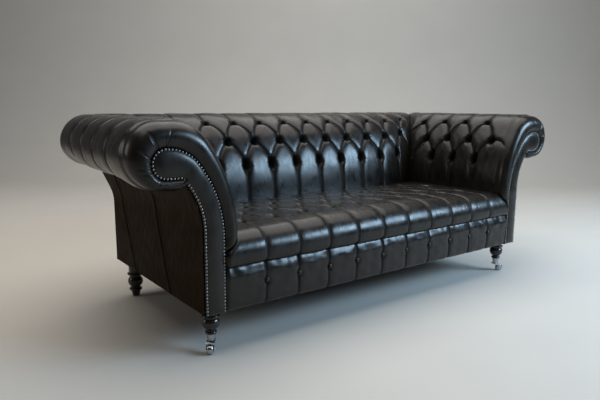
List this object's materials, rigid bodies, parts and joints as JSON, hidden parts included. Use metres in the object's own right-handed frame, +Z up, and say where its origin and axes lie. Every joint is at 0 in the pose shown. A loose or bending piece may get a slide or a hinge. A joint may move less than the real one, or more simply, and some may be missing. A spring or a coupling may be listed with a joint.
{
  "type": "chesterfield sofa",
  "caption": "Deep-buttoned leather sofa with rolled back and scroll arms at one height, fixed seat, nailed scroll facings, front castors and turned feet.",
  "frame": {"origin": "on the floor, under the middle of the plan", "axes": "+X towards the sitter's left, +Y towards the rear, +Z up"},
  "size_m": [2.174, 0.968, 0.78],
  "materials": {
    "tufted_leather": "semi-gloss dark charcoal-brown leather, buttoned in deep diamonds",
    "panel_leather": "semi-gloss dark charcoal-brown leather, flat",
    "frame_wood": "planed beech, unfinished",
    "fibreboard": "thin bent fibreboard",
    "padding": "cream foam and wadding",
    "webbing": "woven webbing",
    "base_cloth": "thin black cloth",
    "turned_wood": "black gloss lacquer on turned hardwood",
    "castor_chrome": "bright chrome plate",
    "steel": "plain steel"
  },
  "bodies": {
    "sofa": {"arm_cover_right": "tufted_leather", "arm_cover_left": "tufted_leather", "back_cover": "tufted_leather", "seat_cover": "tufted_leather", "front_border": "tufted_leather", "back_buttons": "tufted_leather", "arm_buttons_right": "tufted_leather", "arm_buttons_left": "tufted_leather", "seat_buttons": "tufted_leather", "border_buttons": "tufted_leather", "outside_arm_right": "panel_leather", "outside_arm_left": "panel_leather", "outside_back": "panel_leather", "facing_panel_right": "panel_leather", "facing_panel_left": "panel_leather", "front_seat_rail": "frame_wood", "side_seat_rail_right": "frame_wood", "side_seat_rail_left": "frame_wood", "rear_seat_rail": "frame_wood", "seat_cross_rails": "frame_wood", "corner_blocks": "frame_wood", "arm_front_stump_right": "frame_wood", "arm_front_stump_left": "frame_wood", "arm_rear_stumps": "frame_wood", "arm_top_rail_right": "frame_wood", "arm_top_rail_left": "frame_wood", "arm_tacking_rails": "frame_wood", "back_end_board_right": "frame_wood", "back_end_board_left": "frame_wood", "back_middle_boards": "frame_wood", "back_top_rail": "frame_wood", "back_tacking_rail": "frame_wood", "arm_form_right": "fibreboard", "arm_form_left": "fibreboard", "back_form": "fibreboard", "arm_padding_right": "padding", "arm_padding_left": "padding", "back_padding": "padding", "seat_foam": "padding", "seat_webbing": "webbing", "dust_cover": "base_cloth", "front_leg_right": "turned_wood", "front_leg_left": "turned_wood", "rear_foot_right": "turned_wood", "rear_foot_left": "turned_wood", "ferrule_right": "castor_chrome", "ferrule_left": "castor_chrome", "leg_bolts": "steel", "castor_stem_right": "steel", "castor_stem_left": "steel"},
    "left_castor": {"castor_fork_left": "castor_chrome", "castor_axle_left": "steel"},
    "left_castor_wheel": {"castor_wheel_left": "castor_chrome"},
    "right_castor": {"castor_fork_right": "castor_chrome", "castor_axle_right": "steel"},
    "right_castor_wheel": {"castor_wheel_right": "castor_chrome"}
  },
  "joints": [
    {"name": "left_castor_swivel", "type": "hinge", "parent": "sofa", "child": "left_castor", "pos_m": [-0.808, -0.409, 0.0388], "axis": [0, 0, 1], "continuous": true},
    {"name": "left_castor_roll", "type": "hinge", "parent": "left_castor", "child": "left_castor_wheel", "pos_m": [-0.82124, -0.42657, 0.0175], "axis": [0.7986, -0.6018, 0], "continuous": true},
    {"name": "right_castor_swivel", "type": "hinge", "parent": "sofa", "child": "right_castor", "pos_m": [0.808, -0.409, 0.0388], "axis": [0, 0, 1], "continuous": true},
    {"name": "right_castor_roll", "type": "hinge", "parent": "right_castor", "child": "right_castor_wheel", "pos_m": [0.82867, -0.41652, 0.0175], "axis": [0.342, 0.9397, 0], "continuous": true}
  ]
}
